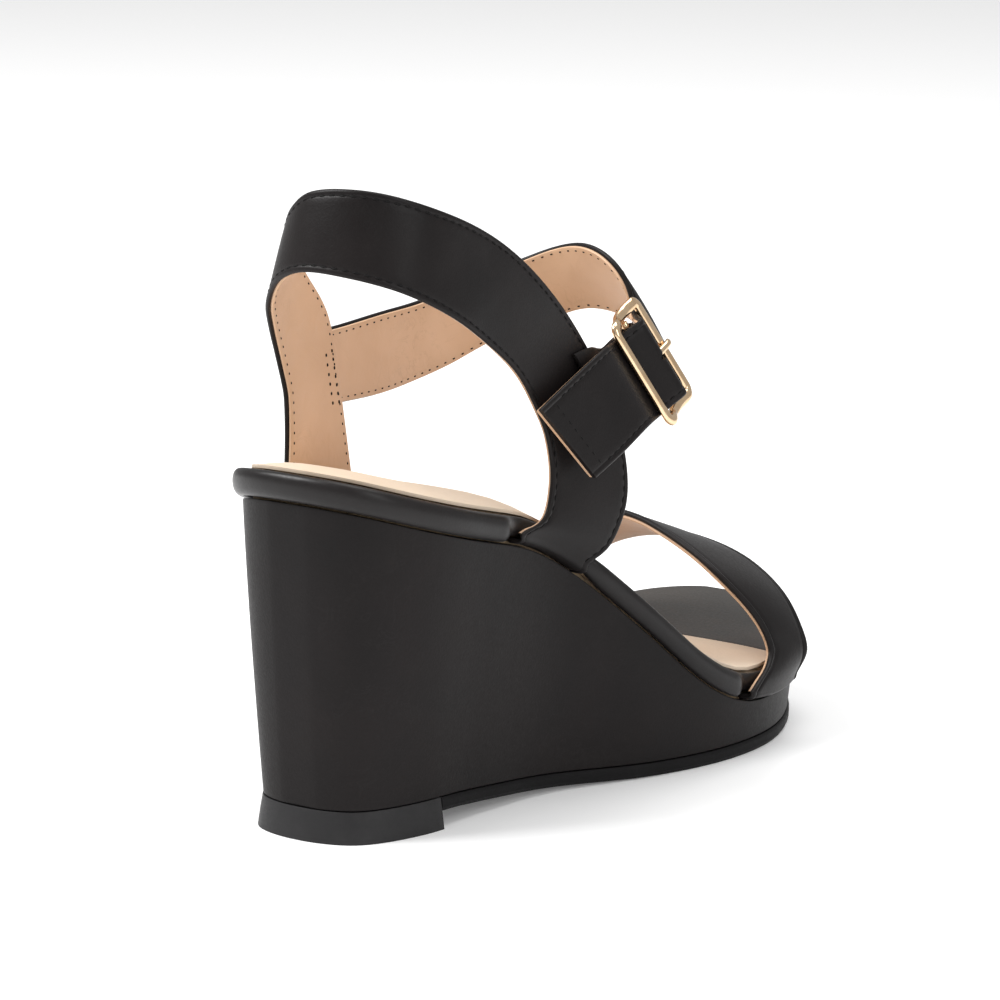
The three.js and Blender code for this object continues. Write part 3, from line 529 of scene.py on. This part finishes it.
def a_row_of(net, longest=16):
    """One row of a strap's net near an end of it, once round its section, as vertex numbers."""
    net = net.copy()
    centre = sum((v.co for v in net.verts), Vector()) / len(net.verts)
    bmesh.ops.join_triangles(net, faces=net.faces[:], angle_face_threshold=1.2, angle_shape_threshold=1.2)
    for vertex in sorted(net.verts, key=lambda v: (centre - v.co).length, reverse=True):
        for edge in vertex.link_edges:
            ring = [vertex.index]
            at = edge.other_vert(vertex)
            while at is not vertex and len(at.link_edges) == 4 and len(ring) <= longest:
                ring.append(at.index)
                edge = carried_on(at, edge)
                at = edge.other_vert(at)
            if at is vertex and len(ring) <= longest:
                return ring


def next_rows(row, seen):
    """All rows of the net on one side of a row, nearest first."""
    rows = []
    beyond = {edge.other_vert(v) for v in row for edge in v.link_edges} - seen
    reach = [min(beyond, key=lambda v: v.index)]
    found = set(reach)
    while reach:
        at = reach.pop()
        linked = {edge.other_vert(at) for edge in at.link_edges} & beyond - found
        found |= linked
        reach.extend(linked)
    while found:
        rows.append(found)
        seen |= found
        found = {edge.other_vert(v) for v in found for edge in v.link_edges} - seen
    return rows


def strap_faces(node):
    """The outer and the inner face of a CAD strap, each as rows along it and columns across it."""
    net = bmesh.new()
    net.from_mesh(frame["nodes"][node].data)
    bmesh.ops.remove_doubles(net, verts=net.verts, dist=0.002 * MM)
    net.verts.index_update()
    net.verts.ensure_lookup_table()
    ring = {net.verts[i] for i in a_row_of(net)}
    seen = set(ring)
    one_way = next_rows(ring, seen)
    other_way = next_rows(ring, seen)
    rows = [np.array([v.co for v in row]) for row in [*reversed(one_way), ring, *other_way]]
    net.free()
    centres = np.array([row.mean(0) for row in rows])
    low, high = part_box(node)
    outer, inner = [], []
    chord = None
    for k, row in enumerate(rows):
        spread = np.linalg.svd(row - centres[k])[2][0]
        if chord is not None and spread @ chord < 0:
            spread = -spread
        chord = spread
        along = centres[min(k + 1, len(rows) - 1)] - centres[max(k - 1, 0)]
        normal = np.cross(chord, along)
        columns = row[np.argsort(row @ chord)].reshape(-1, 2, 3)
        for pair in columns:
            if (pair[0] - pair[1]) @ normal < 0:
                pair[[0, 1]] = pair[[1, 0]]
        outer.append(columns[:, 0])
        inner.append(columns[:, 1])
    outer, inner = np.array(outer), np.array(inner)
    middle = len(rows) // 2
    outward = (outer[middle] - inner[middle]).mean(0)
    if outward @ (centres[middle] - np.array((low + high) / 2)) < 0:
        outer, inner = inner, outer
    return outer, inner


def finer(rows, times):
    """Rows added evenly between rows, on a smooth curve through them all."""
    ends = np.concatenate([2 * rows[:1] - rows[1:2], rows, 2 * rows[-1:] - rows[-2:-1]])
    before, here, after, beyond = ends[:-3], ends[1:-2], ends[2:-1], ends[3:]
    result = []
    for i in range(len(here)):
        for step in range(times):
            t = step / times
            result.append(0.5 * (2 * here[i] + (after[i] - before[i]) * t
                                 + (2 * before[i] - 5 * here[i] + 4 * after[i] - beyond[i]) * t ** 2
                                 + (3 * here[i] - before[i] - 3 * after[i] + beyond[i]) * t ** 3))
    result.append(rows[-1])
    return np.array(result)


class StrapLine:
    """One layer of a strap, asked for points by row, distance across and share of its thickness."""

    def __init__(self, node, times=3):
        outer, inner = (finer(face, times) for face in strap_faces(node))
        self.rows = len(outer)
        self.chord = outer[:, -2] - outer[:, 1]
        self.chord /= np.linalg.norm(self.chord, axis=1)[:, None]
        self.base = outer[:, 1]
        self.start = self.across(outer[:, 0])
        self.end = self.across(outer[:, -1])
        self.curves = [[self.fitted(face, k) for k in range(self.rows)] for face in (outer, inner)]
        centre = outer.mean(1)
        steps = np.linalg.norm(np.diff(centre, axis=0), axis=1)
        self.travel = np.concatenate([[0], np.cumsum(steps)])

    def across(self, points):
        return np.einsum("ij,ij->i", points - self.base, self.chord)

    def fitted(self, face, k):
        """A parabola across one row of a face, which its edge columns, rounded off, take no part in."""
        points = face[k, 1:-1]
        t = (points - self.base[k]) @ self.chord[k]
        return np.polyfit(t, points, 2)

    def on_face(self, face, k, t):
        curve = self.curves[face][k]
        return curve[0] * t * t + curve[1] * t + curve[2]

    def point(self, k, t, depth=0.0, lift=0.0):
        """depth is 0 on the outer face and 1 on the inner one; lift is outwards."""
        top = self.on_face(0, k, t)
        under = self.on_face(1, k, t)
        out = top - under
        return top + (under - top) * depth + out / np.linalg.norm(out) * lift

    def inset(self, k, distance):
        """The place across row k at a distance in from its start, or from its end if negative."""
        return self.start[k] + distance if distance >= 0 else self.end[k] + distance


ROUND_STEPS = 4


def strap_section(line, k, fold, inside, outside, groove_in=1.9 * MM, groove=0.2 * MM, bead=0.1 * MM):
    """One closed section of a strap: (place across, depth, lift, distance to the nearest edge)."""
    width = line.end[k] - line.start[k]

    def relief(x):
        if not groove:
            return 0.0
        lip = bead * math.sin(math.pi * min(x / groove_in, 1.0))
        return lip - groove * math.exp(-(((x - groove_in) / (0.32 * MM)) ** 2))

    near = [fold, 1.0 * MM, 1.45 * MM, groove_in - 0.3 * MM, groove_in, groove_in + 0.3 * MM,
            groove_in + 0.75 * MM, groove_in + 2.2 * MM]
    middle = [near[-1] + (width - 2 * near[-1]) * i / 6 for i in range(1, 6)]
    across = [*near, *middle, *[width - x for x in reversed(near)]]
    points = [(x, 0.0, outside + relief(min(x, width - x))) for x in across]
    turns = [math.pi / 2 * (1 - 2 * i / (2 * ROUND_STEPS)) for i in range(1, 2 * ROUND_STEPS)]
    rounded = [(fold * (1 - math.cos(a)), 0.5 - 0.5 * math.sin(a), outside * math.sin(max(a, 0)))
               for a in turns]
    points += [(width - x, depth, lift) for x, depth, lift in rounded]
    back = [width - fold, width - 1.6 * MM, width * 0.75, width * 0.5, width * 0.25, 1.6 * MM, fold]
    points += [(x, 1.0, inside) for x in back]
    points += reversed(rounded)
    return [(line.start[k] + x, depth, lift, min(x, width - x)) for x, depth, lift in points]


def strap_piece(name, node, line, **section):
    """A strap's layer skinned over its sections, its length and width as a UV map, and its rim marked."""
    rings = [strap_section(line, k, **section) for k in range(line.rows)]
    n = len(rings[0])
    places = [line.point(k, t, depth, lift) for k, ring in enumerate(rings) for t, depth, lift, _ in ring]
    faces = [(k * n + i, k * n + (i + 1) % n, (k + 1) * n + (i + 1) % n, (k + 1) * n + i)
             for k in range(line.rows - 1) for i in range(n)]
    faces += [tuple(range(n)), tuple(range((line.rows - 1) * n, line.rows * n))]
    mesh = bpy.data.meshes.new(name)
    mesh.from_pydata([tuple(p) for p in places], [], faces)
    rim = mesh.attributes.new("rim", "FLOAT", "POINT")
    rim.data.foreach_set("value", [max(0.0, 1 - x / (3 * MM)) for ring in rings for *_, x in ring])
    layout = mesh.uv_layers.new(name="UVMap")
    for corner in mesh.loops:
        k, i = divmod(corner.vertex_index, n)
        layout.data[corner.index].uv = (line.travel[k], rings[k][i][0])
    piece = bpy.data.objects.new(name, mesh)
    bpy.context.scene.collection.objects.link(piece)
    only(piece)
    bpy.ops.object.mode_set(mode="EDIT")
    bpy.ops.mesh.select_all(action="SELECT")
    bpy.ops.mesh.normals_make_consistent(inside=False)
    bpy.ops.object.mode_set(mode="OBJECT")
    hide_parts(node)
    return piece


STRAP_LEATHER = black_leather("strap leather", roughness=0.36, pebble=1900.0, crease=150.0, creasing=0.3,
                              depth=0.04)
LINING = lining_hide("tan lining leather", (0.655, 0.430, 0.278), (0.56, 0.350, 0.212), roughness=0.46,
                     crease=75.0, creasing=0.7, edge_dark=0.2, swell=0.55)
CLOSE_UP = 0.15 * MM  # how far each layer is drawn towards the other
OUTER_SECTION = dict(fold=0.55 * MM, inside=-CLOSE_UP, outside=0.0)
LINING_SECTION = dict(fold=0.35 * MM, inside=0.0, outside=CLOSE_UP, groove=0.0)

vamp = StrapLine("vamp_outer")
vamp_lining_line = StrapLine("vamp_lining")
vamp_outer = strap_piece("vamp_outer_leather", "vamp_outer", vamp, **OUTER_SECTION,
                         groove_in=2.3 * MM, groove=0.36 * MM, bead=0.28 * MM)
vamp_lining = strap_piece("vamp_lining_leather", "vamp_lining", vamp_lining_line, **LINING_SECTION)
finished(vamp_outer, STRAP_LEATHER)
finished(vamp_lining, LINING)

quarter = StrapLine("quarter_outer")
quarter_lining_line = StrapLine("quarter_lining")
quarter_outer = strap_piece("quarter_outer_leather", "quarter_outer", quarter, **OUTER_SECTION)
quarter_lining = strap_piece("quarter_lining_leather", "quarter_lining", quarter_lining_line,
                             **LINING_SECTION)
finished(quarter_outer, STRAP_LEATHER)
finished(quarter_lining, LINING)

ankle = StrapLine("ankle_strap_outer")
ankle_lining_line = StrapLine("ankle_strap_lining")
ankle_outer = strap_piece("ankle_strap_outer_leather", "ankle_strap_outer", ankle, **OUTER_SECTION)
ankle_lining = strap_piece("ankle_strap_lining_leather", "ankle_strap_lining", ankle_lining_line,
                           **LINING_SECTION)


def punched(piece, line, row, wide, long):
    """A hole punched through the middle of a strap at a row, longer along the strap than across it."""
    middle = (line.start[row] + line.end[row]) / 2
    place = Vector(line.point(row, middle, 0.5))
    out = Vector(line.on_face(0, row, middle) - line.on_face(1, row, middle)).normalized()
    along = Vector(line.point(row + 1, middle) - line.point(row - 1, middle)).normalized()
    bpy.ops.object.select_all(action="DESELECT")
    bpy.ops.mesh.primitive_cylinder_add(vertices=24, radius=0.5, depth=8 * MM)
    punch = bpy.context.active_object
    turn = Matrix([along, out.cross(along), out]).transposed().to_4x4()
    punch.matrix_world = Matrix.Translation(place) @ turn @ Matrix.Diagonal((long, wide, 1, 1))
    worked(piece, "BOOLEAN", object=punch, operation="DIFFERENCE", solver="EXACT")
    bpy.data.objects.remove(punch)


def row_at(line, share):
    """The row a share of the way along a strap from its seam to its free end."""
    share = share if line.base[0][0] < 0 else 1 - share
    return round(share * (line.rows - 1))


# The prong comes up through a slot in both layers, well past the middle of the strap.
PRONG_HOLE = 0.653
SLOT_WIDTH = 3.3 * MM
SLOT_LENGTH = 11.2 * MM
for piece, line in ((ankle_outer, ankle), (ankle_lining, ankle_lining_line)):
    punched(piece, line, row_at(line, PRONG_HOLE), SLOT_WIDTH, SLOT_LENGTH)
finished(ankle_outer, STRAP_LEATHER, body=None)
finished(ankle_lining, LINING, body=None)


# ------------------------------------------------------------------ buckle
# A pin buckle of pale gold plate: a rounded frame, the bar across its middle, and a prong that turns on it.
# The leather tab is doubled round the bar and sits on the outer side of the quarter.

buckle_tab = shaped_from("buckle_tab", "buckle_tab_leather")
eased_edges(buckle_tab, 0.25 * MM, 2, 50)
finished(buckle_tab, STRAP_LEATHER, angle=50)


def gold_plate():
    """Polished pale gold plate with hairline scratches, and a patchy tone that is a little tarnished in
    places.
    """
    material, tree, shader = finish("gold plate")
    here = put(tree, "TexCoord").outputs["Object"]
    brushed = put(tree, "Mapping", Vector=here, Rotation=(0.4, 0.9, 0.2), Scale=(300.0, 4200.0, 4200.0))
    hairline = put(tree, "TexNoise", Vector=brushed.outputs["Vector"], Scale=1.0, Detail=3.0).outputs["Fac"]
    tone = in_group(tree, HANDLING, Patch=160.0, Fleck=2500.0)
    scuffs = maths(tree, "MULTIPLY", hairline, tone.outputs["Flecks"])
    colour = between(tree, tone.outputs["Patches"], (0.72, 0.50, 0.30, 1), (0.82, 0.62, 0.41, 1))
    to(tree, shader, Base_Color=colour, Metallic=1.0,
       Roughness=ranged(tree, scuffs, 0.1, 0.5, 0.12, 0.24),
       Normal=put(tree, "Bump", Strength=0.12, Distance=0.01 * MM, Height=hairline).outputs["Normal"])
    return material


GOLD = gold_plate()
buckle_frame = shaped_from("buckle_frame", "buckle_frame_cast")
smoother(buckle_frame, 1)
worked(buckle_frame, "DISPLACE", strength=0.16 * MM, mid_level=0.0)


def broadened(piece, centre, wire, sides):
    """A rectangular frame whose bars are made wider outwards, each pair by its own extra along its axis."""
    places = np.array([v.co for v in piece.data.vertices]) - np.array(centre)
    for axis, extra in sides:
        reach = places @ axis
        most = np.abs(reach).max()
        share = np.clip((np.abs(reach) - (most - wire)) / wire, 0, 1)
        places += (np.sign(reach) * share * extra)[:, None] * axis
    for vertex, place in zip(piece.data.vertices, places + np.array(centre)):
        vertex.co = place


FRAME_WIRE = 3.0 * MM
SIDE_BARS_BROADER = 0.6 * MM
END_BARS_BROADER = 0.15 * MM
pivot = frame["joints"][0]
across_buckle = np.array(pivot["axis"]) / np.linalg.norm(pivot["axis"])
corners = np.array([v.co for v in buckle_frame.data.vertices]) - np.array(pivot["pos_m"])
flat = corners - np.outer(corners @ across_buckle, across_buckle)
along_buckle = np.linalg.svd(flat, full_matrices=False)[2][0]
broadened(buckle_frame, pivot["pos_m"], FRAME_WIRE,
          ((across_buckle, SIDE_BARS_BROADER), (along_buckle, END_BARS_BROADER)))
finished(buckle_frame, GOLD, "buckle")
buckle_bar = shaped_from("buckle_bar", "buckle_bar_wire")
eased_edges(buckle_bar, 0.2 * MM, 2, 50)
finished(buckle_bar, GOLD, "buckle", 45)
buckle_prong = shaped_from("buckle_prong", "buckle_prong_wire")
eased_edges(buckle_prong, 0.15 * MM, 2, 50)
finished(buckle_prong, GOLD, "prong", 45)


# ------------------------------------------------------------------ stitching
# Waxed black thread in a lock stitch: long stitches on the outside, and short ones, pulled into the leather,
# on the lining.

def thread():
    material, tree, shader = finish("waxed thread")
    here = put(tree, "TexCoord").outputs["Object"]
    twist = put(tree, "TexNoise", Vector=here, Scale=5200.0, Detail=3.0, Distortion=1.2).outputs["Fac"]
    to(tree, shader, Base_Color=between(tree, twist, (0.004, 0.0037, 0.0037, 1), (0.012, 0.011, 0.011, 1)),
       Roughness=ranged(tree, twist, 0.3, 0.7, 0.5, 0.7), Specular_IOR_Level=0.12,
       Normal=put(tree, "Bump", Strength=0.7, Distance=0.05 * MM, Height=twist).outputs["Normal"])
    return material


THREAD = thread()


def one_stitch(length, thick):
    """A short run of thread lying along X, bowed up in the middle and pulled down at both ends."""
    bpy.ops.object.select_all(action="DESELECT")
    bpy.ops.mesh.primitive_uv_sphere_add(segments=7, ring_count=7, radius=0.5, rotation=(0, math.pi / 2, 0))
    ball = bpy.context.active_object
    bpy.ops.object.transform_apply(rotation=True)
    places = np.array([v.co for v in ball.data.vertices])
    faces = [tuple(f.vertices) for f in ball.data.polygons]
    bpy.data.objects.remove(ball)
    x = places[:, 0]
    full = np.sqrt(np.maximum(1 - (2 * np.abs(x)) ** 4, 0.0))
    around = np.linalg.norm(places[:, 1:], axis=1)
    spread = np.where(around > 1e-6, full / np.maximum(around, 1e-6), 0)[:, None]
    yz = places[:, 1:] * spread * 0.5 * thick
    dip = -0.75 * thick * (2 * np.abs(x)) ** 3
    return np.column_stack([x * length, yz[:, 0], yz[:, 1] + dip]), faces


def stitched(name, paths, length, pitch, thick, body):
    """Stitches laid along paths, each a list of (point, outward direction)."""
    places, faces = [], []
    stitch, pattern = one_stitch(length, thick)
    for path in paths:
        points = np.array([p for p, _ in path])
        outs = np.array([n for _, n in path])
        travel = np.concatenate([[0], np.cumsum(np.linalg.norm(np.diff(points, axis=0), axis=1))])
        count = int(travel[-1] // pitch)
        if not count:
            continue
        gap = travel[-1] / count
        for i in range(count):
            ends = [gap * i + (gap - length) / 2, gap * i + (gap + length) / 2]
            a, b = (np.array([np.interp(s, travel, points[:, c]) for c in range(3)]) for s in ends)
            out = np.array([np.interp(sum(ends) / 2, travel, outs[:, c]) for c in range(3)])
            along = (b - a) / np.linalg.norm(b - a)
            side = np.cross(out, along)
            side /= np.linalg.norm(side)
            up = np.cross(along, side)
            start = len(places)
            places.extend((a + b) / 2 + stitch @ np.array([along, side, up]))
            faces.extend(tuple(start + v for v in face) for face in pattern)
    mesh = bpy.data.meshes.new(name)
    mesh.from_pydata([tuple(p) for p in places], [], faces)
    piece = bpy.data.objects.new(name, mesh)
    bpy.context.scene.collection.objects.link(piece)
    return finished(piece, THREAD, body, 80)


def run_along(line, distance, face, lift, first=0, last=None):
    """A path along a strap at a distance in from one edge, on its outer (0) or inner (1) face."""
    path = []
    for k in range(first, last or line.rows):
        t = line.inset(k, distance)
        out = line.on_face(0, k, t) - line.on_face(1, k, t)
        out /= np.linalg.norm(out)
        path.append((line.on_face(face, k, t) + out * lift, out if face == 0 else -out))
    return path


def run_across(line, k, face, lift, margin):
    """A path across a strap on row k."""
    path = []
    for step in range(13):
        t = line.start[k] + margin + (line.end[k] - line.start[k] - 2 * margin) * step / 12
        out = line.on_face(0, k, t) - line.on_face(1, k, t)
        out /= np.linalg.norm(out)
        path.append((line.on_face(face, k, t) + out * lift, out if face == 0 else -out))
    return path


OUTSIDE = dict(length=2.3 * MM, pitch=3.1 * MM, thick=0.5 * MM)
INSIDE = dict(length=1.1 * MM, pitch=3.1 * MM, thick=0.45 * MM)
ROW_IN = 1.9 * MM
LINING_ROW_IN = ROW_IN - 0.5 * MM
SUNK = -0.05 * MM
QUARTER_CLEAR = 12  # rows at each end of the heel band that have no stitches

stitched("quarter_stitching",
         [run_along(quarter, d, 0, SUNK, QUARTER_CLEAR, quarter.rows - QUARTER_CLEAR)
          for d in (ROW_IN, -ROW_IN)],
         body="sandal", **OUTSIDE)
stitched("quarter_lining_stitching",
         [run_along(quarter_lining_line, d, 1, 0.0) for d in (LINING_ROW_IN, -LINING_ROW_IN)],
         body="sandal", **INSIDE)


def front_of(line, k):
    """1 or -1, for the edge of row k that lies nearer the toe."""
    edges = [line.point(k, line.inset(k, d)) for d in (ROW_IN, -ROW_IN)]
    return 1 if edges[0][1] > edges[1][1] else -1


SEAM_TOP = 129 * MM
SEAM_FOOT = 109 * MM
lining = quarter_lining_line
seam_side = front_of(lining, [k for k in range(lining.rows) if lining.base[k][0] < 0][lining.rows // 4])
seam_rows = [k for k in range(lining.rows) if lining.base[k][0] < 0
             and SEAM_FOOT < lining.point(k, lining.inset(k, seam_side * ROW_IN))[2] < SEAM_TOP]
stitched("quarter_seam_stitching",
         [run_along(lining, seam_side * d, 1, 0.08 * MM, seam_rows[0], seam_rows[-1] + 1)
          for d in (1.6 * MM, 4.3 * MM)],
         body="sandal", length=1.5 * MM, pitch=2.6 * MM, thick=0.75 * MM)
ankle_end = ankle.rows - 1
ankle_paths = [run_along(ankle, d, 0, SUNK, 2, ankle_end - 5) for d in (ROW_IN, -ROW_IN)]
SEAM_ROWS = (3, 6)
ankle_paths += [run_across(ankle, k, 0, SUNK, ROW_IN) for k in (*SEAM_ROWS, ankle_end - 4)]
ankle_stitches = stitched("ankle_strap_stitching", ankle_paths, body=None, **OUTSIDE)
ankle_inside = stitched("ankle_strap_lining_stitching",
                        [run_along(ankle_lining_line, d, 1, 0.0) for d in (LINING_ROW_IN, -LINING_ROW_IN)],
                        body=None, **INSIDE)

# The instep strap's pieces ride on no body; their placing is baked into their meshes.
for piece in (ankle_outer, ankle_lining, ankle_stitches, ankle_inside):
    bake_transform(piece)


# ------------------------------------------------------------------ setting
# A plain white floor under soft studio light from above and the left, and the camera behind the outer side.

def floor_finish():
    material, tree, shader = finish("studio floor")
    to(tree, shader, Base_Color=(0.93, 0.93, 0.93, 1), Roughness=0.7, Emission_Color=(1, 1, 1, 1),
       Emission_Strength=0.12)
    return material


bpy.ops.mesh.primitive_plane_add(size=8)
floor = bpy.context.active_object
floor.name = "floor"
floor.data.materials.append(floor_finish())

world = bpy.data.worlds.new("studio")
world.use_nodes = True
world.node_tree.nodes["Background"].inputs["Color"].default_value = (1, 1, 1, 1)
world.node_tree.nodes["Background"].inputs["Strength"].default_value = 0.52
bpy.context.scene.world = world
bpy.context.scene.view_settings.view_transform = "Standard"


def softbox(name, place, aim, size, watts):
    light = bpy.data.objects.new(name, bpy.data.lights.new(name, "AREA"))
    light.data.shape = "RECTANGLE"
    light.data.size, light.data.size_y = size
    light.data.energy = watts
    light.location = place
    light.rotation_euler = (Vector(aim) - Vector(place)).to_track_quat("-Z", "Y").to_euler()
    bpy.context.scene.collection.objects.link(light)


softbox("key_softbox", (-0.9, -0.9, 1.5), (0, 0, 0.08), (0.9, 0.9), 40)
softbox("side_softbox", (1.5, -0.2, 0.9), (0, 0, 0.08), (0.6, 1.0), 6)
softbox("top_softbox", (0.1, 0.4, 1.8), (0, 0, 0.05), (1.2, 1.2), 17)

CAMERA_PLACE = Vector((0.7872, -1.1220, 0.3683))
LOOKS_AT = Vector((-0.0095, -0.0058, 0.0782))
ROLL = math.radians(0.46)
camera = bpy.data.objects.new("camera", bpy.data.cameras.new("camera"))
camera.data.sensor_width = 36
camera.data.lens = 173.5
camera.location = CAMERA_PLACE
aim = (LOOKS_AT - CAMERA_PLACE).to_track_quat("-Z", "Y").to_matrix()
camera.rotation_euler = (aim @ Matrix.Rotation(ROLL, 3, "Z")).to_euler()
bpy.context.scene.collection.objects.link(camera)
bpy.context.scene.camera = camera
